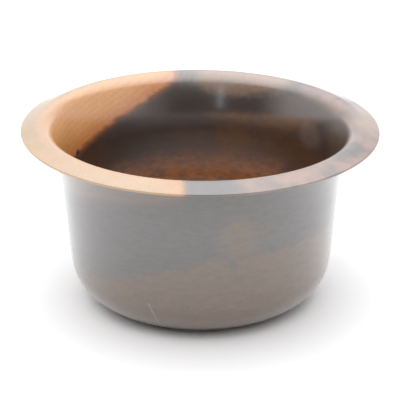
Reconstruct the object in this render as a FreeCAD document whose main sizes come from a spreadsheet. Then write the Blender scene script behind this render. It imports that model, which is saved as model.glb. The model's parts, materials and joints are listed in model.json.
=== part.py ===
"""Shaving mug: a bowl turned from one block of wood, with a non-slip pad glued into its base.

Lengths are in millimetres. The origin is the centre of the resting plane and +Z points up
through the mouth.
"""
import FreeCAD
import Part
import Sketcher
import math
import os

# Driving dimensions: alias, value, meaning.
SIZES = (
    ("total_height", 61.6, "resting plane to the rim's highest circle"),
    ("rim_radius", 60.0, "outside radius of the flared rim"),
    ("crest_radius", 53.9, "radius of the rim's highest circle"),
    ("rim_slope", 18.3, "fall of the rim's face towards its edge, in degrees"),
    ("rim_thickness", 3.0, "thickness of the rim under its highest circle"),
    ("rim_edge_flat", 0.3, "straight part of the rim's thin edge"),
    ("rim_edge_round", 0.25, "rounding above and below that straight part"),
    ("lip_round", 5.0, "rounding from the rim's face into the mouth"),
    ("bell_round", 47.0, "outside radius of the long curve below the rim"),
    ("wall_radius", 47.2, "outside radius of the bowl where that curve ends"),
    ("wall_thickness", 3.0, "thickness of the side wall"),
    ("wall_taper", 5.5, "lean of the side wall from vertical, in degrees"),
    ("corner_round", 14.4, "outside rounding from the wall to the base"),
    ("floor_height", 7.0, "resting plane to the inside floor"),
    ("floor_round", 24.0, "inside rounding from the wall to the floor"),
    ("pad_radius", 27.0, "radius of the non-slip pad"),
    ("pad_thickness", 2.5, "thickness of the non-slip pad"),
    ("pad_proud", 0.5, "how far the pad stands below the wood"),
    ("pad_chamfer", 0.4, "chamfer of the pad's lower edge"),
    ("glue_gap", 0.2, "radial gap between the pad and its recess"),
)
START, END, CENTRE = 1, 2, 3
ORIGIN = (-1, 1)
VERTICAL_AXIS = -2


def make_sheet(doc):
    """Put the driving dimensions into a spreadsheet, one aliased cell each."""
    sheet = doc.addObject("Spreadsheet::Sheet", "Sizes")
    for row, (alias, value, meaning) in enumerate(SIZES, start=1):
        sheet.set(f"A{row}", meaning)
        sheet.set(f"B{row}", str(value))
        sheet.setAlias(f"B{row}", alias)
    doc.recompute()
    return sheet


def origin_plane(body, role):
    """Return one of the body's own origin planes, such as XZ_Plane."""
    return next(item for item in body.Origin.OriginFeatures if item.Role == role)


def new_body(doc, label):
    """Make a body that stands at the part's origin."""
    body = doc.addObject("PartDesign::Body", label)
    body.Label = label
    body.Placement = FreeCAD.Placement()
    return body


def new_sketch(body, name, role):
    """Start a sketch on one of the body's origin planes."""
    sketch = body.newObject("Sketcher::SketchObject", name)
    sketch.AttachmentSupport = (origin_plane(body, role), [""])
    sketch.MapMode = "FlatFace"
    return sketch


def dimension(sketch, kind, name, formula, *arguments):
    """Add a named dimension, drawn at the size that the sheet gives, and bind it to the sheet."""
    size = sketch.evalExpression(formula)
    value = getattr(size, "Value", size)
    if kind == "Angle":
        value = math.radians(value)
    index = sketch.addConstraint(Sketcher.Constraint(kind, *arguments, value))
    sketch.renameConstraint(index, name)
    sketch.setExpression(f"Constraints.{name}", formula)


def at(radius, height):
    """A point of the half section: distance from the axis, then height."""
    return FreeCAD.Vector(radius, height, 0)


def arc(centre, radius, start_degrees, end_degrees):
    """An anticlockwise arc of the half section."""
    circle = Part.Circle(centre, FreeCAD.Vector(0, 0, 1), radius)
    return Part.ArcOfCircle(circle, math.radians(start_degrees), math.radians(end_degrees))


def along(centre, radius, degrees):
    """The point at that radius and angle from a centre."""
    turn = math.radians(degrees)
    return centre + at(radius * math.cos(turn), radius * math.sin(turn))


def rim_geometry(sheet, lip_centre, cove):
    """The rim outside the lip: its sloping face, its thin edge and its underside."""
    edge = sheet.rim_edge_round
    slope = math.radians(sheet.rim_slope)
    out = sheet.rim_radius - edge
    rise = sheet.lip_round - edge - (out - lip_centre.x) * math.sin(slope)
    high = at(out, lip_centre.y + rise / math.cos(slope))
    low = at(out, high.y - sheet.rim_edge_flat)
    between = low - lip_centre
    level = math.atan2(between.y, between.x)
    tilt = math.degrees(level - math.asin((cove + edge) / between.Length))
    face_angle = 90 - sheet.rim_slope
    under_start = along(lip_centre, cove, 90 + tilt)
    under_end = along(low, edge, tilt - 90)
    face_start = along(high, edge, face_angle)
    face_end = along(lip_centre, sheet.lip_round, face_angle)
    return {
        "under_angle": 90 + tilt,
        "underside": Part.LineSegment(under_start, under_end),
        "edge_low": arc(low, edge, tilt - 90, 0),
        "edge": Part.LineSegment(at(sheet.rim_radius, low.y), at(sheet.rim_radius, high.y)),
        "edge_high": arc(high, edge, 0, face_angle),
        "face": Part.LineSegment(face_start, face_end),
    }


def section_geometry(sheet):
    """The half section of the bowl, once round from the axis at the base, outside first."""
    taper = math.radians(sheet.wall_taper)
    base = sheet.pad_proud
    lip = sheet.lip_round
    cove = lip - sheet.rim_thickness
    outer = sheet.bell_round
    inner = outer + sheet.wall_thickness
    lip_centre = at(sheet.crest_radius, sheet.total_height - lip)
    bell_reach = sheet.wall_radius + outer * math.cos(taper)
    bell_side = bell_reach - lip_centre.x
    bell_drop = math.sqrt((inner - lip) ** 2 - bell_side ** 2)
    bell_centre = at(bell_reach, lip_centre.y - bell_drop)
    turn = math.degrees(math.atan2(bell_drop, -bell_side))
    lean = sheet.wall_taper

    def wall_point(radius_from_bell, height):
        """A point at that height on the wall line that a bell arc of that radius runs into."""
        start = bell_reach - radius_from_bell * math.cos(taper)
        drop = bell_centre.y + radius_from_bell * math.sin(taper) - height
        return at(start - drop * math.tan(taper), height)

    def corner(radius_from_bell, radius, level):
        """Centre of a rounding that joins that wall line to a level below it."""
        height = level + radius
        on_line = wall_point(radius_from_bell, height)
        return at(on_line.x - radius / math.cos(taper), height)

    wall_top = wall_point(outer, bell_centre.y + outer * math.sin(taper))
    inner_top = wall_point(inner, bell_centre.y + inner * math.sin(taper))
    foot = corner(outer, sheet.corner_round, base)
    basin = corner(inner, sheet.floor_round, sheet.floor_height)
    lean_in = at(math.cos(taper), -math.sin(taper))
    wall_foot = foot + lean_in * sheet.corner_round
    inner_foot = basin + lean_in * sheet.floor_round
    rim = rim_geometry(sheet, lip_centre, cove)
    face_angle = 90 - sheet.rim_slope
    return {
        "base": Part.LineSegment(at(0, base), at(foot.x, base)),
        "corner": arc(foot, sheet.corner_round, -90, -lean),
        "wall": Part.LineSegment(wall_foot, wall_top),
        "bell": arc(bell_centre, outer, turn, 180 - lean),
        "cove": arc(lip_centre, cove, rim["under_angle"], turn),
        "underside": rim["underside"],
        "edge_low": rim["edge_low"],
        "edge": rim["edge"],
        "edge_high": rim["edge_high"],
        "face": rim["face"],
        "lip": arc(lip_centre, lip, face_angle, turn),
        "flare": arc(bell_centre, inner, turn, 180 - lean),
        "inner_wall": Part.LineSegment(inner_top, inner_foot),
        "basin": arc(basin, sheet.floor_round, -90, -lean),
        "floor": Part.LineSegment(at(basin.x, sheet.floor_height), at(0, sheet.floor_height)),
        "axis": Part.LineSegment(at(0, sheet.floor_height), at(0, base)),
    }


def constrain_section(sketch, piece):
    """Join the section's lines and arcs and bind its sizes to the sheet."""
    def join(kind, first, first_end, second, second_end):
        sketch.addConstraint(Sketcher.Constraint(kind, piece[first], first_end, piece[second], second_end))

    join("Tangent", "base", END, "corner", START)
    join("Tangent", "corner", END, "wall", START)
    join("Tangent", "wall", END, "bell", END)
    join("Tangent", "bell", START, "cove", END)
    join("Tangent", "cove", START, "underside", START)
    join("Tangent", "underside", END, "edge_low", START)
    join("Tangent", "edge_low", END, "edge", START)
    join("Tangent", "edge", END, "edge_high", START)
    join("Tangent", "edge_high", END, "face", START)
    join("Tangent", "face", END, "lip", START)
    join("Tangent", "lip", END, "flare", START)
    join("Tangent", "flare", END, "inner_wall", START)
    join("Tangent", "inner_wall", END, "basin", END)
    join("Tangent", "basin", START, "floor", START)
    join("Coincident", "floor", END, "axis", START)
    join("Coincident", "axis", END, "base", START)
    join("Coincident", "bell", CENTRE, "flare", CENTRE)
    for name in ("base", "floor"):
        sketch.addConstraint(Sketcher.Constraint("Horizontal", piece[name]))
    for name in ("edge", "axis"):
        sketch.addConstraint(Sketcher.Constraint("Vertical", piece[name]))
    sketch.addConstraint(Sketcher.Constraint("Parallel", piece["wall"], piece["inner_wall"]))
    sketch.addConstraint(Sketcher.Constraint("PointOnObject", piece["axis"], END, VERTICAL_AXIS))

    radii = (
        ("corner", "corner_round"),
        ("bell", "bell_round"),
        ("flare", "bell_round + Sizes.wall_thickness"),
        ("cove", "lip_round - Sizes.rim_thickness"),
        ("edge_low", "rim_edge_round"),
        ("edge_high", "rim_edge_round"),
        ("lip", "lip_round"),
        ("basin", "floor_round"),
    )
    for name, formula in radii:
        dimension(sketch, "Radius", f"{name}_radius", f"Sizes.{formula}", piece[name])
    heights = (
        ("base", START, "pad_proud"),
        ("cove", CENTRE, "total_height - Sizes.lip_round"),
        ("lip", CENTRE, "total_height - Sizes.lip_round"),
        ("floor", START, "floor_height"),
    )
    for name, end, formula in heights:
        dimension(sketch, "DistanceY", f"{name}_height", f"Sizes.{formula}", *ORIGIN, piece[name], end)
    reaches = (
        ("edge", START, "rim_radius"),
        ("lip", CENTRE, "crest_radius"),
        ("wall", END, "wall_radius"),
    )
    for name, end, formula in reaches:
        dimension(sketch, "DistanceX", f"{name}_reach", f"Sizes.{formula}", *ORIGIN, piece[name], end)
    dimension(sketch, "Distance", "edge_length", "Sizes.rim_edge_flat", piece["edge"])
    dimension(sketch, "Angle", "face_slope", "(180 - Sizes.rim_slope) * 1 deg", piece["face"])
    dimension(sketch, "Angle", "wall_lean", "(90 - Sizes.wall_taper) * 1 deg", piece["wall"])


def make_bowl(doc, sheet):
    """Turn the bowl about the Z axis, then sink the recess for the pad into its base."""
    body = new_body(doc, "turned_bowl")
    section = new_sketch(body, "HalfSection", "XZ_Plane")
    piece = {name: section.addGeometry(item) for name, item in section_geometry(sheet).items()}
    constrain_section(section, piece)
    turning = body.newObject("PartDesign::Revolution", "Turning")
    turning.Profile = section
    turning.ReferenceAxis = (section, ["V_Axis"])
    turning.Angle = 360
    doc.recompute()

    outline = new_sketch(body, "RecessOutline", "XY_Plane")
    add_circle(outline, "Sizes.pad_radius + Sizes.glue_gap")
    recess = body.newObject("PartDesign::Pocket", "PadRecess")
    recess.Profile = outline
    recess.Reversed = True
    recess.setExpression("Length", "Sizes.pad_thickness")
    doc.recompute()
    check_cut(turning, recess, sheet)
    return body


def add_circle(sketch, radius):
    """Draw a circle about the axis with its radius bound to the sheet."""
    size = sketch.evalExpression(radius)
    circle = sketch.addGeometry(Part.Circle(at(0, 0), FreeCAD.Vector(0, 0, 1), size))
    sketch.addConstraint(Sketcher.Constraint("Coincident", circle, CENTRE, *ORIGIN))
    dimension(sketch, "Radius", "circle_radius", radius, circle)


def check_cut(before, after, sheet):
    """Stop unless the recess took away the wood that it should."""
    radius = sheet.pad_radius + sheet.glue_gap
    depth = sheet.pad_thickness - sheet.pad_proud
    expected = math.pi * radius ** 2 * depth
    removed = before.Shape.Volume - after.Shape.Volume
    if abs(removed - expected) > 0.001 * expected:
        raise RuntimeError(f"the recess removed {removed:.1f} mm3, not {expected:.1f} mm3")


def make_pad(doc):
    """Make the flat round pad, its lower edge chamfered."""
    body = new_body(doc, "base_pad")
    outline = new_sketch(body, "PadOutline", "XY_Plane")
    add_circle(outline, "Sizes.pad_radius")
    disc = body.newObject("PartDesign::Pad", "Disc")
    disc.Profile = outline
    disc.setExpression("Length", "Sizes.pad_thickness")
    doc.recompute()
    chamfer = body.newObject("PartDesign::Chamfer", "LowerEdge")
    chamfer.Base = (disc, [lowest_edge(disc.Shape)])
    chamfer.setExpression("Size", "Sizes.pad_chamfer")
    doc.recompute()
    return body


def lowest_edge(shape):
    """Name the closed edge that lies lowest."""
    heights = {
        f"Edge{number}": edge.BoundBox.ZMax
        for number, edge in enumerate(shape.Edges, start=1)
    }
    return min(heights, key=heights.get)


def check(doc, bodies):
    """Stop if any object failed, or if a piece isn't one valid solid."""
    for item in doc.Objects:
        if "Invalid" in item.State or "Error" in item.State:
            raise RuntimeError(f"{item.Label} did not compute: {item.State}")
    for body in bodies:
        shape = body.Shape
        if shape.isNull() or not shape.isValid() or len(shape.Solids) != 1:
            raise RuntimeError(f"{body.Label} is not one valid solid")


def main():
    """Build the mug and write each piece to parts/."""
    os.makedirs("parts", exist_ok=True)
    doc = FreeCAD.newDocument("ShavingMug")
    sheet = make_sheet(doc)
    bodies = (make_bowl(doc, sheet), make_pad(doc))
    doc.recompute()
    check(doc, bodies)
    for body in bodies:
        body.Shape.exportStep(f"parts/{body.Label}.step")
        print(body.Label, round(body.Shape.Volume, 1), "mm3", body.Shape.optimalBoundingBox())


main()
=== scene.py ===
"""Shaving mug turned from two-tone hardwood, on a plain pale floor in soft studio light."""

import json
import math

import bpy
import numpy as np
from mathutils import Matrix, Vector


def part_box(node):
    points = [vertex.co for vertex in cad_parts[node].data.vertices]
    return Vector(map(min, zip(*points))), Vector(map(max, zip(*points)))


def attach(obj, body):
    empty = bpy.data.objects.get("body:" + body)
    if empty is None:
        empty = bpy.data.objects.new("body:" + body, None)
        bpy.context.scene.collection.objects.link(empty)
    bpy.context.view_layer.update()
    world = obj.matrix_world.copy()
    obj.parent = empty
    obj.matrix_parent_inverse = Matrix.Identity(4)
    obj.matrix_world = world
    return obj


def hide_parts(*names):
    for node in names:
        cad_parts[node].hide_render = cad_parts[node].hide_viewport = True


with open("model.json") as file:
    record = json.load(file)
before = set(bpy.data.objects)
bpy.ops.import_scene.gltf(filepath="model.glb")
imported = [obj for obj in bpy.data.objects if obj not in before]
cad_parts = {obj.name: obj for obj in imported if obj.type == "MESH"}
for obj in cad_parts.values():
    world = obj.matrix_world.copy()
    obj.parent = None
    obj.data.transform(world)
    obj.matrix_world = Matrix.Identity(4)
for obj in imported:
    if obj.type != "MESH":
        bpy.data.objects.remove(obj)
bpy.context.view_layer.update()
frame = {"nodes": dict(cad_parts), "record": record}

MM = 0.001

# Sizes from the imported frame, in metres.
bowl_low, bowl_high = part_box("turned_bowl")
pad_low, pad_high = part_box("base_pad")
RIM_RADIUS = frame["record"]["size"]["bbox_m"][0] / 2
TOP = bowl_high[2]
BASE = bowl_low[2]
PAD_RADIUS = (pad_high[0] - pad_low[0]) / 2
PAD_TOP = pad_high[2]

# The bowl's section, in metres: the same section as the CAD solid's.
CREST_RADIUS = RIM_RADIUS - 6.1 * MM
RIM_SLOPE = math.radians(18.3)
RIM_THICKNESS = 3.0 * MM
RIM_EDGE_FLAT = 0.3 * MM
RIM_EDGE_ROUND = 0.25 * MM
LIP_ROUND = 5.0 * MM
BELL_ROUND = 47.0 * MM
WALL_RADIUS = 47.2 * MM
WALL_THICKNESS = 3.0 * MM
WALL_TAPER = math.radians(5.5)
CORNER_ROUND = 14.4 * MM
FLOOR_HEIGHT = 7.0 * MM
FLOOR_ROUND = 24.0 * MM
RECESS_RADIUS = PAD_RADIUS + 0.2 * MM
RECESS_EDGE_ROUND = 0.3 * MM

# How the dried rim has moved: lower towards +X by this slope.
RIM_TILT = -0.0135

# Where a point of the section lies.
OUTSIDE, RIM, INSIDE = -1.0, 0.0, 1.0

# Marks of use: place, radius and depth, in millimetres from the middle of the rim's top.
# Each is pressed in along the last three numbers.
DENTS = (
    ((-42.3, 14.2, -17.0), 1.1, 0.55, (-0.95, 0.31, 0.0)),
    ((19.0, -50.6, -0.5), 0.8, 0.45, (0.0, -0.5, -0.85)),
    ((-33.0, -48.2, -1.2), 0.9, 0.20, (0.0, 0.0, -1.0)),
)

# Mesh density.
SEGMENTS = 512
STEP = 0.45 * MM


def arc_points(centre, radius, start, end):
    """Points along an arc of the section, about one step apart, both ends included."""
    count = max(4, int(abs(end - start) * radius / STEP))
    angles = np.linspace(start, end, count)
    return [(centre[0] + radius * math.cos(a), centre[1] + radius * math.sin(a)) for a in angles]


def line_points(start, end):
    """Points along a straight stretch of the section, both ends included."""
    length = math.dist(start, end)
    count = max(2, int(length / STEP) + 1)
    return [tuple(p) for p in np.linspace(start, end, count)]


def rim_stretches(lip_centre, cove_round, turn):
    """The rim from the cove under it, round its thin edge, to the end of the lip."""
    edge = RIM_EDGE_ROUND
    out = RIM_RADIUS - edge
    rise = LIP_ROUND - edge - (out - lip_centre[0]) * math.sin(RIM_SLOPE)
    high = (out, lip_centre[1] + rise / math.cos(RIM_SLOPE))
    low = (out, high[1] - RIM_EDGE_FLAT)
    level = math.atan2(low[1] - lip_centre[1], low[0] - lip_centre[0])
    tilt = level - math.asin((cove_round + edge) / math.dist(low, lip_centre))
    quarter = math.pi / 2
    cove = arc_points(lip_centre, cove_round, turn, quarter + tilt)
    edge_low = arc_points(low, edge, tilt - quarter, 0)
    edge_high = arc_points(high, edge, 0, quarter - RIM_SLOPE)
    lip = arc_points(lip_centre, LIP_ROUND, quarter - RIM_SLOPE, turn)
    return [
        (cove, OUTSIDE, OUTSIDE),
        (line_points(cove[-1], edge_low[0]), OUTSIDE, RIM),
        (edge_low, RIM, RIM),
        (edge_high, RIM, RIM),
        (line_points(edge_high[-1], lip[0]), RIM, RIM),
        (lip, RIM, INSIDE),
    ]


def rounding_centre(wall_top, radius, level):
    """Centre of the rounding from the end of a wall line down to a level."""
    height = level + radius
    reach = wall_top[0] - (wall_top[1] - height) * math.tan(WALL_TAPER)
    return (reach - radius / math.cos(WALL_TAPER), height)


def base_stretches(corner_start):
    """The recess for the pad and the flat ring round it, from the axis outwards."""
    recess_edge = (RECESS_RADIUS + RECESS_EDGE_ROUND, BASE + RECESS_EDGE_ROUND)
    return [
        (line_points((STEP, PAD_TOP), (RECESS_RADIUS, PAD_TOP)), OUTSIDE, OUTSIDE),
        (line_points((RECESS_RADIUS, PAD_TOP), (RECESS_RADIUS, recess_edge[1])), OUTSIDE, OUTSIDE),
        (arc_points(recess_edge, RECESS_EDGE_ROUND, math.pi, 1.5 * math.pi), OUTSIDE, OUTSIDE),
        (line_points((recess_edge[0], BASE), corner_start), OUTSIDE, OUTSIDE),
    ]


def bowl_stretches():
    """The half section, outside first, as stretches with the side each starts and ends on."""
    inner_bell = BELL_ROUND + WALL_THICKNESS
    lip_centre = (CREST_RADIUS, TOP - LIP_ROUND)
    bell_x = WALL_RADIUS + BELL_ROUND * math.cos(WALL_TAPER)
    bell_side = bell_x - lip_centre[0]
    bell_drop = math.sqrt((inner_bell - LIP_ROUND) ** 2 - bell_side ** 2)
    bell_centre = (bell_x, lip_centre[1] - bell_drop)
    turn = math.atan2(bell_drop, -bell_side)
    bell_end = math.pi - WALL_TAPER
    bell = arc_points(bell_centre, BELL_ROUND, turn, bell_end)
    flare = arc_points(bell_centre, inner_bell, turn, bell_end)
    corner_centre = rounding_centre(bell[-1], CORNER_ROUND, BASE)
    basin_centre = rounding_centre(flare[-1], FLOOR_ROUND, FLOOR_HEIGHT)
    corner = arc_points(corner_centre, CORNER_ROUND, -math.pi / 2, -WALL_TAPER)
    basin = arc_points(basin_centre, FLOOR_ROUND, -WALL_TAPER, -math.pi / 2)
    return [
        *base_stretches(corner[0]),
        (corner, OUTSIDE, OUTSIDE),
        (line_points(corner[-1], bell[-1]), OUTSIDE, OUTSIDE),
        (bell[::-1], OUTSIDE, OUTSIDE),
        *rim_stretches(lip_centre, LIP_ROUND - RIM_THICKNESS, turn),
        (flare, INSIDE, INSIDE),
        (line_points(flare[-1], basin[0]), INSIDE, INSIDE),
        (basin, INSIDE, INSIDE),
        (line_points(basin[-1], (STEP, FLOOR_HEIGHT)), INSIDE, INSIDE),
    ]


def bowl_section():
    """The half section as one run of rows: radius, height, side."""
    rows = []
    for points, start_side, end_side in bowl_stretches():
        sides = np.linspace(start_side, end_side, len(points))
        for point, side in zip(points, sides):
            if not rows or math.dist(rows[-1][:2], point) > 0.05 * STEP:
                rows.append((*point, side))
    return np.array(rows)


def warp(points):
    """Move the turned shape as the wood has moved in drying: most at the rim, none at the foot."""
    share = np.clip((points[:, 2] - BASE) / (TOP - BASE), 0, 1) ** 2
    points[:, 2] += RIM_TILT * points[:, 0] * share
    return points


def press_dents(points):
    """Press each small mark of use into the surface."""
    for place, radius, depth, way in DENTS:
        centre = np.array(place) * MM + (0, 0, TOP)
        distance = np.linalg.norm(points - centre, axis=1) / (radius * MM)
        share = np.exp(-distance ** 2)
        points += share[:, None] * np.array(way) * depth * MM
    return points


def lathe(name, section, low_centre, high_centre):
    """Turn a section about the Z axis into a closed mesh with a point at each end on the axis."""
    angles = np.arange(SEGMENTS) * 2 * math.pi / SEGMENTS
    radius = section[:, 0][:, None]
    x = radius * np.cos(angles)
    y = radius * np.sin(angles)
    z = np.repeat(section[:, 1][:, None], SEGMENTS, axis=1)
    rings = np.stack([x, y, z], axis=2).reshape(-1, 3)
    points = warp(np.vstack([rings, [[0, 0, low_centre], [0, 0, high_centre]]]))
    points = press_dents(points)
    count = len(section)
    row = np.arange(count - 1)[:, None] * SEGMENTS
    column = np.arange(SEGMENTS)[None, :]
    following = (column + 1) % SEGMENTS
    here = row + column
    beside = row + following
    quads = np.stack([here, beside, beside + SEGMENTS, here + SEGMENTS], axis=2)
    faces = quads.reshape(-1, 4).tolist()
    low, high = len(rings), len(rings) + 1
    last = (count - 1) * SEGMENTS
    for index in range(SEGMENTS):
        after = (index + 1) % SEGMENTS
        faces.append([low, after, index])
        faces.append([high, last + index, last + after])
    mesh = bpy.data.meshes.new(name)
    mesh.from_pydata(points.tolist(), [], faces)
    mesh.validate()
    mesh.shade_smooth()
    sides = np.append(np.repeat(section[:, 2], SEGMENTS), (OUTSIDE, INSIDE))
    attribute = mesh.attributes.new("side", "FLOAT", "POINT")
    attribute.data.foreach_set("value", sides.astype(np.float32))
    piece = bpy.data.objects.new(name, mesh)
    bpy.context.scene.collection.objects.link(piece)
    return piece


# ---------------------------------------------------------------- node helpers

class Graph:
    """Adds shader nodes to one material or world and wires them as they are made."""

    def __init__(self, tree):
        self.tree = tree
        tree.nodes.clear()

    def node(self, kind, **settings):
        item = self.tree.nodes.new(kind)
        for key, value in settings.items():
            setattr(item, key, value)
        return item

    def wire(self, source, target):
        """Set a socket to a number or colour, or link another socket to it."""
        if isinstance(source, bpy.types.NodeSocket):
            self.tree.links.new(source, target)
        else:
            target.default_value = source

    def math(self, operation, *values, clamp=False):
        item = self.node("ShaderNodeMath", operation=operation, use_clamp=clamp)
        for socket, value in zip(item.inputs, values):
            self.wire(value, socket)
        return item.outputs[0]

    def vector(self, operation, *values):
        item = self.node("ShaderNodeVectorMath", operation=operation)
        for socket, value in zip(item.inputs, values):
            self.wire(value, socket)
        return item.outputs[0]

    def length(self, vector):
        item = self.node("ShaderNodeVectorMath", operation="LENGTH")
        self.wire(vector, item.inputs[0])
        return item.outputs["Value"]

    def noise(self, vector, scale, detail=2.0, roughness=0.5):
        """A noise value from -1 to 1 round zero."""
        item = self.node("ShaderNodeTexNoise")
        self.wire(vector, item.inputs["Vector"])
        self.wire(scale, item.inputs["Scale"])
        self.wire(detail, item.inputs["Detail"])
        self.wire(roughness, item.inputs["Roughness"])
        return self.math("MULTIPLY_ADD", item.outputs["Fac"], 2.0, -1.0)

    def step(self, value, low, high):
        """0 below low, 1 above high, smooth between."""
        item = self.node("ShaderNodeMapRange", interpolation_type="SMOOTHSTEP")
        self.wire(value, item.inputs["Value"])
        self.wire(low, item.inputs["From Min"])
        self.wire(high, item.inputs["From Max"])
        return item.outputs["Result"]

    def mix(self, factor, first, second, blend="MIX"):
        item = self.node("ShaderNodeMix", data_type="RGBA", blend_type=blend)
        self.wire(factor, item.inputs["Factor"])
        self.wire(first, item.inputs[6])
        self.wire(second, item.inputs[7])
        return item.outputs[2]

    def blend(self, factor, first, second):
        """A number between first, at factor 0, and second, at factor 1."""
        item = self.node("ShaderNodeMix", data_type="FLOAT")
        self.wire(factor, item.inputs[0])
        self.wire(first, item.inputs[2])
        self.wire(second, item.inputs[3])
        return item.outputs[0]

    def stretch(self, vector, scale, offset=(0, 0, 0)):
        """The same coordinates, scaled and moved."""
        scaled = self.vector("MULTIPLY", vector, scale)
        return self.vector("ADD", scaled, offset)


def new_material(name):
    """An empty node material and the graph that fills it."""
    material = bpy.data.materials.new(name)
    material.use_nodes = True
    return material, Graph(material.node_tree)


def colour(red, green, blue):
    """A linear colour from the usual 0 to 255 values."""
    def linear(value):
        value /= 255
        return value / 12.92 if value <= 0.04045 else ((value + 0.055) / 1.055) ** 2.4
    return (linear(red), linear(green), linear(blue), 1.0)


# ---------------------------------------------------------------- materials

SAP_GOLD = (0.376, 0.215, 0.082, 1.0)
SAP_AMBER = (0.400, 0.176, 0.043, 1.0)
SAP_EDGE = (0.208, 0.064, 0.016, 1.0)
DARK_HEART = (0.044, 0.035, 0.030, 1.0)
# Dark streak colour, also used as painted shade inside the bowl.
DARK_STREAK_AND_SHADE = (0.029, 0.021, 0.018, 1.0)
BROWN_HEART = (0.104, 0.050, 0.014, 1.0)
BROWN_DEEP = (0.062, 0.031, 0.011, 1.0)
AMBER_TINT = (0.270, 0.165, 0.100, 1.0)
PINK_TINT = (0.272, 0.136, 0.085, 1.0)
PAINTED_REFLECTION_PALE = (0.176, 0.147, 0.136, 1.0)
KHAKI_CLOUD = (0.272, 0.160, 0.070, 1.0)
INSIDE_BROWN = (0.330, 0.095, 0.010, 1.0)
# Sapwood colours for the inside: warmer than the rim's, and far brighter as painted light on the inner
# wall.
LIT_INSIDE_SAP = (0.700, 0.310, 0.090, 1.0)
LIT_INSIDE_ORANGE = (0.600, 0.215, 0.066, 1.0)
INSIDE_RED = (0.070, 0.033, 0.022, 1.0)
RED_FLECK = (0.088, 0.019, 0.014, 1.0)
SCRATCH_PALE = (0.260, 0.190, 0.130, 1.0)
PIT_DARK = (0.019, 0.013, 0.010, 1.0)


RUBBER_DARK = colour(52, 49, 47)
RUBBER_WORN = colour(66, 62, 59)
FLOOR_DARKER = (0.88, 0.88, 0.88, 1.0)
FLOOR_LIGHTER = (0.91, 0.91, 0.91, 1.0)

# Places in the figure are in millimetres from the middle of the rim's top.
# The sapwood's lower face rises to the left from SAP_START_X, and its right end stands at SAP_END_X.
# Each CHANGE is what a value gains over SAP_REACH towards the back.
SAP_REACH = 45.0
SAP_START_X = -8.5
SAP_SLOPE, SAP_SLOPE_CHANGE = 0.34, 0.14
SAP_LEVEL, SAP_LEVEL_CHANGE = -6.4, 3.3
SAP_END_X, SAP_END_CHANGE = -6.0, -1.5

# Rounded patches of the figure, and one of painted reflection: centre and radii.
BROWN_NOTCH = ((10.3, 0.0, -31.5), (1.7, 90.0, 3.2))
BROWN_BLOCK = ((12.5, 0.0, -22.5), (8.5, 90.0, 8.8))
BROWN_BACK_RIGHT = ((33.0, 34.0, -18.0), (13.0, 24.0, 12.0))
AMBER_BACK = ((19.0, 52.0, -1.0), (22.0, 13.0, 7.0))
AMBER_RIGHT = ((60.0, 3.0, -1.0), (9.0, 17.0, 6.0))
# The next patch is a painted reflection: the bright left inner wall mirrored in the right one.
PAINTED_REFLECTION_PATCH = ((38.5, 23.0, -14.5), (4.2, 8.0, 4.2))
KHAKI_INSIDE = ((46.5, 6.0, -11.0), (3.0, 10.0, 6.5))
PIT = ((-42.3, 14.2, -17.0), (1.3, 1.3, 1.3))

# The brown lower part: its top, and how that falls towards the left of BROWN_FALL_X.
BROWN_TOP = -30.0
BROWN_FALL_X = 2.5
BROWN_FALL = 0.36

# Dark red flecks in the front of the rim: place and radius.
RED_FLECKS = (
    ((-0.9, -58.0, -1.2), 0.45),
    ((2.0, -58.8, -1.5), 0.6),
    ((4.2, -57.6, -1.1), 0.4),
    ((9.5, -58.6, -1.4), 0.35),
)

# The scratch on the front: where it starts, in X and Z, and how far it runs and falls.
SCRATCH_START_X, SCRATCH_START_Z = -17.0, -47.6
SCRATCH_RUN, SCRATCH_FALL = 3.2, -8.0

# Depth of the relief that the grain and the rubber's skin give, in metres.
GRAIN_DEPTH = 0.00006
RUBBER_DEPTH = 0.0001


def patch(g, place, centre, radii, ragged, soft):
    """1 inside a rounded patch of the figure, 0 outside it, with a ragged edge."""
    offset = g.vector("SUBTRACT", place, centre)
    scaled = g.vector("DIVIDE", offset, radii)
    reach = g.math("ADD", g.length(scaled), ragged)
    return g.step(reach, 1.0 + soft, 1.0 - soft)


def largest(g, first, *others):
    """The largest of several numbers."""
    for other in others:
        first = g.math("MAXIMUM", first, other)
    return first


def sapwood_depth(g, axes, sway, ripple):
    """How far into the sapwood a point is: it lies above a slanting face, left of the middle."""
    x, y, z = axes
    back = g.math("DIVIDE", y, SAP_REACH)
    slope = g.math("MULTIPLY_ADD", back, SAP_SLOPE_CHANGE, SAP_SLOPE)
    level = g.math("MULTIPLY_ADD", back, SAP_LEVEL_CHANGE, SAP_LEVEL)
    face = g.math("MULTIPLY_ADD", slope, g.math("ADD", x, -SAP_START_X), level)
    rings = g.math("SUBTRACT", z, face)
    rings = g.math("MULTIPLY_ADD", sway, 2.2, rings)
    rings = g.math("MULTIPLY_ADD", ripple, 0.8, rings)
    middle = g.math("SUBTRACT", g.math("MULTIPLY_ADD", back, SAP_END_CHANGE, SAP_END_X), x)
    middle = g.math("MULTIPLY_ADD", ripple, 1.6, middle)
    return rings, g.math("SMOOTH_MIN", rings, middle, 2.5)


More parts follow.
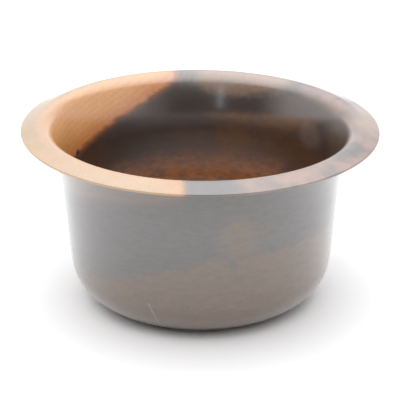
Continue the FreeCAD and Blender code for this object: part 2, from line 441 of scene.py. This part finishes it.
def brown_share(g, mm, axes, ragged):
    """Brown heartwood: the lower part, a block above it right of the middle, and the back right."""
    x, _, z = axes
    left = g.math("MAXIMUM", g.math("SUBTRACT", BROWN_FALL_X, x), 0.0)
    left_fall = g.math("MULTIPLY", left, BROWN_FALL)
    low = g.math("SUBTRACT", g.math("SUBTRACT", BROWN_TOP, left_fall), z)
    low = g.step(g.math("MULTIPLY_ADD", ragged, 5.0, low), -2.2, 2.2)
    notch = patch(g, mm, *BROWN_NOTCH, g.math("MULTIPLY", ragged, 0.4), 0.3)
    low = g.math("MULTIPLY", low, g.math("MULTIPLY_ADD", notch, -0.8, 1.0))
    wide = g.math("MULTIPLY", ragged, 0.8)
    block = patch(g, mm, *BROWN_BLOCK, wide, 0.3)
    back_right = patch(g, mm, *BROWN_BACK_RIGHT, wide, 0.35)
    return largest(g, low, g.math("MULTIPLY", block, 0.9), g.math("MULTIPLY", back_right, 0.45))


def rim_tints(g, mm, axes, ragged, base):
    """Amber clouds at the back and right of the rim and pinkish ones at its front right."""
    x, _, z = axes
    edge = g.math("MULTIPLY", ragged, 0.5)
    back_rim = patch(g, mm, *AMBER_BACK, edge, 0.3)
    right_rim = patch(g, mm, *AMBER_RIGHT, edge, 0.3)
    amber = largest(g, back_rim, g.math("MULTIPLY", right_rim, 0.8))
    cloud = g.noise(g.stretch(mm, (1.0, 1.0, 0.4), (3.0, 11.0, 0.0)), 0.07, 2.0)
    pink = g.math("MULTIPLY", g.step(cloud, -0.35, 0.30), g.step(z, -5.0, -2.5))
    pink = g.math("MULTIPLY", pink, g.step(x, 3.0, 14.0))
    base = g.mix(g.math("MULTIPLY", pink, 0.75), base, PINK_TINT)
    return g.mix(g.math("MULTIPLY", amber, 0.85), base, AMBER_TINT)


def inside_tints(g, mm, axes, ragged, inside, streak, base):
    """The inside is warmer low down, and paler in soft clouds near the right end: a khaki one, and a pale
    one that is a painted reflection of the bright left wall.
    """
    x, _, z = axes
    base = g.mix(g.math("MULTIPLY", inside, 0.22), base, INSIDE_RED)
    low = g.step(g.math("MULTIPLY_ADD", ragged, 3.0, z), -25.0, -35.0)
    right_end = g.math("MULTIPLY_ADD", z, 0.55, 46.0)
    keep = g.step(g.math("MULTIPLY_ADD", ragged, 1.5, g.math("SUBTRACT", right_end, x)), -0.5, 1.5)
    low = g.math("MULTIPLY", g.math("MULTIPLY", low, keep), inside)
    share = g.math("MULTIPLY", low, g.step(streak, 0.7, -0.6))
    base = g.mix(share, base, INSIDE_BROWN)
    edge = g.math("MULTIPLY", ragged, 0.6)
    pale = patch(g, mm, *PAINTED_REFLECTION_PATCH, edge, 0.4)
    khaki = patch(g, mm, *KHAKI_INSIDE, edge, 0.4)
    # A pale cloud of painted reflection in the right inner wall.
    base = g.mix(g.math("MULTIPLY", g.math("MULTIPLY", pale, 0.30), inside), base, PAINTED_REFLECTION_PALE)
    return g.mix(g.math("MULTIPLY", g.math("MULTIPLY", khaki, 0.12), inside), base, KHAKI_CLOUD)


def scratch_share(g, axes):
    """A fine pale scratch low on the front, left of the middle."""
    x, y, z = axes
    along = g.math("MULTIPLY", g.math("SUBTRACT", x, SCRATCH_START_X), SCRATCH_RUN)
    along = g.math("MULTIPLY_ADD", g.math("SUBTRACT", z, SCRATCH_START_Z), SCRATCH_FALL, along)
    length_squared = SCRATCH_RUN ** 2 + SCRATCH_FALL ** 2
    share = g.math("DIVIDE", along, length_squared, clamp=True)
    off_x = g.math("SUBTRACT", x, g.math("MULTIPLY_ADD", share, SCRATCH_RUN, SCRATCH_START_X))
    off_z = g.math("SUBTRACT", z, g.math("MULTIPLY_ADD", share, SCRATCH_FALL, SCRATCH_START_Z))
    off = g.math("SQRT", g.math("MULTIPLY_ADD", off_x, off_x, g.math("MULTIPLY", off_z, off_z)))
    return g.math("MULTIPLY", g.step(off, 0.32, 0.08), g.step(y, 0.0, -10.0))


def marks(g, mm, axes, ragged, scratch, base):
    """Colour of the marks of use: the pit, the red flecks and the scratch."""
    edge = g.math("MULTIPLY", ragged, 0.7)
    pit = patch(g, mm, *PIT, edge, 0.5)
    flecks = [
        patch(g, mm, place, (size, size, size), edge, 0.5)
        for place, size in RED_FLECKS
    ]
    base = g.mix(pit, base, PIT_DARK)
    base = g.mix(g.math("MULTIPLY", largest(g, *flecks), 0.8), base, RED_FLECK)
    return g.mix(g.math("MULTIPLY", scratch, g.step(ragged, -0.9, 0.9)), base, SCRATCH_PALE)


def wood_base(g, mm, axes, inside, outside, scratch):
    """The wood's colour, its pores and its speckle."""
    # The grain runs along Y.
    along = g.stretch(mm, (1.0, 0.25, 1.0))
    sway = g.noise(along, 0.05, 4.0, 0.55)
    ripple = g.noise(along, 0.22, 3.0)
    rings, depth = sapwood_depth(g, axes, sway, ripple)
    ragged = g.noise(g.stretch(mm, (1.0, 0.3, 1.0), (31.0, 7.0, 12.0)), 0.13, 7.0, 0.70)
    streak = g.noise(g.stretch(mm, (0.5, 0.10, 1.0), (5.0, 3.0, 9.0)), 0.6, 5.0, 0.65)
    pores = g.step(g.noise(g.stretch(mm, (1.0, 0.08, 1.0)), 2.6, 2.0), 0.30, 0.60)
    speck = g.noise(g.stretch(mm, (1.0, 0.3, 1.0)), 1.3, 4.0, 0.65)
    fine = g.math("SINE", g.math("MULTIPLY", rings, 2.8))
    fine = g.math("MULTIPLY", fine, g.math("MULTIPLY_ADD", g.noise(along, 0.3, 2.0), 0.5, 0.5))

    sap_colour = g.mix(g.step(depth, 2.0, 11.0), SAP_AMBER, SAP_GOLD)
    # Inside, the sapwood takes its brighter copy: the warmer tone is the wood's, the extra brightness is
    # painted light.
    lit_inside_sap = g.mix(g.step(g.math("MULTIPLY_ADD", streak, 3.5, depth), 9.0, 1.0), LIT_INSIDE_SAP, LIT_INSIDE_ORANGE)
    sap_colour = g.mix(g.math("MULTIPLY", inside, 0.9), sap_colour, lit_inside_sap)
    sap_colour = g.mix(g.step(g.math("MULTIPLY_ADD", streak, 2.0, depth), 3.2, 0.2), sap_colour, SAP_EDGE)
    heart = g.mix(g.step(streak, -0.3, 0.4), DARK_HEART, DARK_STREAK_AND_SHADE)
    # Inside, the heartwood is darkened further towards the dark streak colour: painted shade in the bowl's
    # hollow.
    heart = g.mix(g.math("MULTIPLY", inside, 0.45), heart, DARK_STREAK_AND_SHADE)
    brown = g.mix(g.step(streak, -0.4, 0.5), BROWN_HEART, BROWN_DEEP)
    heart = g.mix(brown_share(g, mm, axes, ragged), heart, brown)
    heart = rim_tints(g, mm, axes, ragged, heart)
    heart = inside_tints(g, mm, axes, ragged, inside, streak, heart)
    sap = g.step(g.math("MULTIPLY_ADD", streak, 1.2, depth), -1.6, 2.2)
    # On the outside the sapwood is mostly left off, so the heartwood colour stands there: painted shade
    # under the rim.
    sap = g.math("MULTIPLY", sap, g.math("MULTIPLY_ADD", outside, -0.82, 1.0))
    base = g.mix(sap, heart, sap_colour)
    base = marks(g, mm, axes, ragged, scratch, base)

    shade = g.math("MULTIPLY_ADD", fine, 0.06, 1.0)
    shade = g.math("MULTIPLY_ADD", speck, 0.20, shade)
    shade = g.math("MULTIPLY_ADD", pores, -0.25, shade)
    tone = g.node("ShaderNodeCombineXYZ")
    for socket in tone.inputs:
        g.wire(shade, socket)
    return g.mix(1.0, base, tone.outputs[0], "MULTIPLY"), pores, speck


def wood_material():
    """Two-tone hardwood under clear lacquer: the figure is solid, so it runs through the wall."""
    material, g = new_material("lacquered_wood")
    place = g.node("ShaderNodeTexCoord").outputs["Object"]
    shifted = g.vector("SUBTRACT", place, (0.0, 0.0, TOP))
    mm = g.vector("MULTIPLY", shifted, (1000.0, 1000.0, 1000.0))
    split = g.node("ShaderNodeSeparateXYZ")
    g.wire(mm, split.inputs[0])
    axes = tuple(split.outputs)
    side = g.node("ShaderNodeAttribute", attribute_name="side").outputs["Fac"]
    inside = g.math("MAXIMUM", side, 0.0)
    outside = g.math("MAXIMUM", g.math("MULTIPLY", side, -1.0), 0.0)
    scratch = scratch_share(g, axes)
    base, pores, speck = wood_base(g, mm, axes, inside, outside, scratch)

    # Fine turning lines lie level round the wall.
    turning = g.noise(g.stretch(mm, (0.02, 0.02, 1.0)), 2.2, 2.0)
    height = g.math("MULTIPLY_ADD", pores, -1.0, g.math("MULTIPLY", speck, 0.3))
    height = g.math("MULTIPLY_ADD", turning, 0.12, height)
    height = g.math("MULTIPLY_ADD", scratch, -2.0, height)
    bump = g.node("ShaderNodeBump")
    g.wire(0.2, bump.inputs["Strength"])
    g.wire(GRAIN_DEPTH, bump.inputs["Distance"])
    g.wire(height, bump.inputs["Height"])

    shader = g.node("ShaderNodeBsdfPrincipled")
    g.wire(base, shader.inputs["Base Color"])
    rough = g.math("MULTIPLY_ADD", inside, 0.02, 0.30)
    g.wire(g.math("MULTIPLY_ADD", speck, 0.04, rough), shader.inputs["Roughness"])
    g.wire(bump.outputs[0], shader.inputs["Normal"])
    shader.inputs["IOR"].default_value = 1.75
    shader.inputs["Coat Weight"].default_value = 1.0
    g.wire(g.math("MULTIPLY_ADD", inside, 0.05, 0.12), shader.inputs["Coat Roughness"])
    shader.inputs["Coat IOR"].default_value = 1.8
    out = g.node("ShaderNodeOutputMaterial")
    g.wire(shader.outputs[0], out.inputs["Surface"])
    return material


def pad_material():
    """Dark rubber with a fine matt skin."""
    material, g = new_material("rubber_pad")
    place = g.node("ShaderNodeTexCoord").outputs["Object"]
    grain = g.noise(place, 2600.0, 3.0, 0.6)
    cloud = g.noise(place, 120.0, 3.0)
    bump = g.node("ShaderNodeBump")
    g.wire(0.6, bump.inputs["Strength"])
    g.wire(RUBBER_DEPTH, bump.inputs["Distance"])
    g.wire(grain, bump.inputs["Height"])
    shader = g.node("ShaderNodeBsdfPrincipled")
    rubber = g.mix(g.step(cloud, -0.5, 0.6), RUBBER_DARK, RUBBER_WORN)
    g.wire(rubber, shader.inputs["Base Color"])
    g.wire(g.math("MULTIPLY_ADD", grain, 0.08, 0.78), shader.inputs["Roughness"])
    g.wire(bump.outputs[0], shader.inputs["Normal"])
    out = g.node("ShaderNodeOutputMaterial")
    g.wire(shader.outputs[0], out.inputs["Surface"])
    return material


def floor_material():
    """A matt, nearly white floor."""
    material, g = new_material("pale_floor")
    place = g.node("ShaderNodeTexCoord").outputs["Object"]
    cloud = g.noise(place, 6.0, 3.0)
    shader = g.node("ShaderNodeBsdfPrincipled")
    pale = g.mix(g.step(cloud, -1.0, 1.0), FLOOR_DARKER, FLOOR_LIGHTER)
    g.wire(pale, shader.inputs["Base Color"])
    shader.inputs["Roughness"].default_value = 0.6
    shader.inputs["Specular IOR Level"].default_value = 0.2
    out = g.node("ShaderNodeOutputMaterial")
    g.wire(shader.outputs[0], out.inputs["Surface"])
    return material


# ---------------------------------------------------------------- pieces

wood = wood_material()
bowl = lathe("turned_wooden_bowl", bowl_section(), PAD_TOP, FLOOR_HEIGHT)
bowl.data.materials.append(wood)
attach(bowl, "root")
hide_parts("turned_bowl")

pad = frame["nodes"]["base_pad"]
pad.data.materials.clear()
pad.data.materials.append(pad_material())


# ---------------------------------------------------------------- stage

# Radiance of the room: overhead, low at the back, low behind the camera, low at the right,
# and of the panel above the dark part behind the camera.
OVERHEAD_LIGHT = 2.6
BACK_LIGHT = 1.05
FRONT_LIGHT = 0.07
RIGHT_LIGHT = 0.75
PANEL_LIGHT = 1.7

# Each light fades in between two heights in the sky (0 level, 1 overhead), or two shares of a direction.
PANEL_FADE = (0.54, 0.59)
OVERHEAD_FADE = (0.60, 1.0)
BACK_FADE = (0.25, 1.0)
RIGHT_FADE = (0.30, 0.90)
WINDOW_FADE = (-0.10, 0.55)
WINDOW_X, WINDOW_Y = -0.6, 0.8

WINDOW_STRIP_PLACE = (-0.28, -0.90, 0.45)
WINDOW_STRIP_TARGET = (0, 0, 0.04)
WINDOW_STRIP_WIDTH, WINDOW_STRIP_HEIGHT = 0.07, 0.35
WINDOW_STRIP_POWER = 0.16
WINDOW_STRIP_TINT = (0.80, 0.90, 1.0)
FLOOR_REACH = 3.0


def make_floor():
    """A level square under the bowl."""
    reach = FLOOR_REACH
    corners = [(-reach, -reach, 0), (reach, -reach, 0), (reach, reach, 0), (-reach, reach, 0)]
    mesh = bpy.data.meshes.new("floor")
    mesh.from_pydata(corners, [], [(0, 1, 2, 3)])
    floor = bpy.data.objects.new("floor", mesh)
    bpy.context.scene.collection.objects.link(floor)
    floor.data.materials.append(floor_material())
    return floor


floor = make_floor()


def make_world():
    """A soft white room: brightest overhead, less so low at the back, dim at the right, dark in front."""
    world = bpy.data.worlds.new("studio")
    bpy.context.scene.world = world
    world.use_nodes = True
    g = Graph(world.node_tree)
    way = g.node("ShaderNodeTexCoord").outputs["Generated"]
    split = g.node("ShaderNodeSeparateXYZ")
    g.wire(way, split.inputs[0])
    x, y, z = split.outputs
    low_front = g.math("MULTIPLY_ADD", g.step(x, *RIGHT_FADE), RIGHT_LIGHT - FRONT_LIGHT, FRONT_LIGHT)
    front = g.blend(g.step(z, *PANEL_FADE), low_front, PANEL_LIGHT)
    front = g.math("MULTIPLY_ADD", g.step(z, *OVERHEAD_FADE), OVERHEAD_LIGHT - PANEL_LIGHT, front)
    back = g.math("MULTIPLY_ADD", g.step(z, *BACK_FADE), OVERHEAD_LIGHT - BACK_LIGHT, BACK_LIGHT)
    window_side = g.math("MULTIPLY_ADD", x, WINDOW_X, g.math("MULTIPLY", y, WINDOW_Y))
    strength = g.blend(g.step(window_side, *WINDOW_FADE), front, back)
    shader = g.node("ShaderNodeBackground")
    shader.inputs["Color"].default_value = (0.99, 0.99, 1.0, 1.0)
    g.wire(strength, shader.inputs["Strength"])
    out = g.node("ShaderNodeOutputWorld")
    g.wire(shader.outputs[0], out.inputs["Surface"])


def area_light(name, place, target, width, height, power, tint):
    """A rectangular lamp that points at a target."""
    data = bpy.data.lights.new(name, "AREA")
    data.shape = "RECTANGLE"
    data.size = width
    data.size_y = height
    data.energy = power
    data.color = tint
    light = bpy.data.objects.new(name, data)
    bpy.context.scene.collection.objects.link(light)
    light.location = place
    light.rotation_euler = (Vector(target) - Vector(place)).to_track_quat("-Z", "Y").to_euler()


make_world()
area_light("window_strip", WINDOW_STRIP_PLACE, WINDOW_STRIP_TARGET, WINDOW_STRIP_WIDTH,
           WINDOW_STRIP_HEIGHT, WINDOW_STRIP_POWER, WINDOW_STRIP_TINT)


# ---------------------------------------------------------------- camera

CAMERA_DISTANCE = 9 * RIM_RADIUS
CAMERA_ELEVATION = math.radians(20.118)
CAMERA_PITCH = math.radians(22.928)
CAMERA_ROLL = math.radians(-0.341)
CAMERA_YAW = math.radians(0.0236)
SENSOR = 36.0
FOCAL_PER_RADIUS = 178.83 / 400


def make_camera():
    """The camera, at the height, tilt and focal length that fit the bowl's outline."""
    data = bpy.data.cameras.new("camera")
    data.sensor_width = SENSOR
    data.lens = SENSOR * FOCAL_PER_RADIUS * CAMERA_DISTANCE / RIM_RADIUS
    data.clip_start = 0.01
    camera = bpy.data.objects.new("camera", data)
    bpy.context.scene.collection.objects.link(camera)
    reach = CAMERA_DISTANCE * math.cos(CAMERA_ELEVATION)
    rise = CAMERA_DISTANCE * math.sin(CAMERA_ELEVATION)
    turn = Matrix.Rotation(CAMERA_YAW, 4, "Z") @ Matrix.Rotation(math.pi / 2 - CAMERA_PITCH, 4, "X")
    roll = Matrix.Rotation(CAMERA_ROLL, 4, "Z")
    camera.matrix_world = Matrix.Translation((0, -reach, TOP + rise)) @ turn @ roll
    bpy.context.scene.camera = camera


make_camera()
view = bpy.context.scene.view_settings
view.view_transform = "Standard"
view.look = "None"
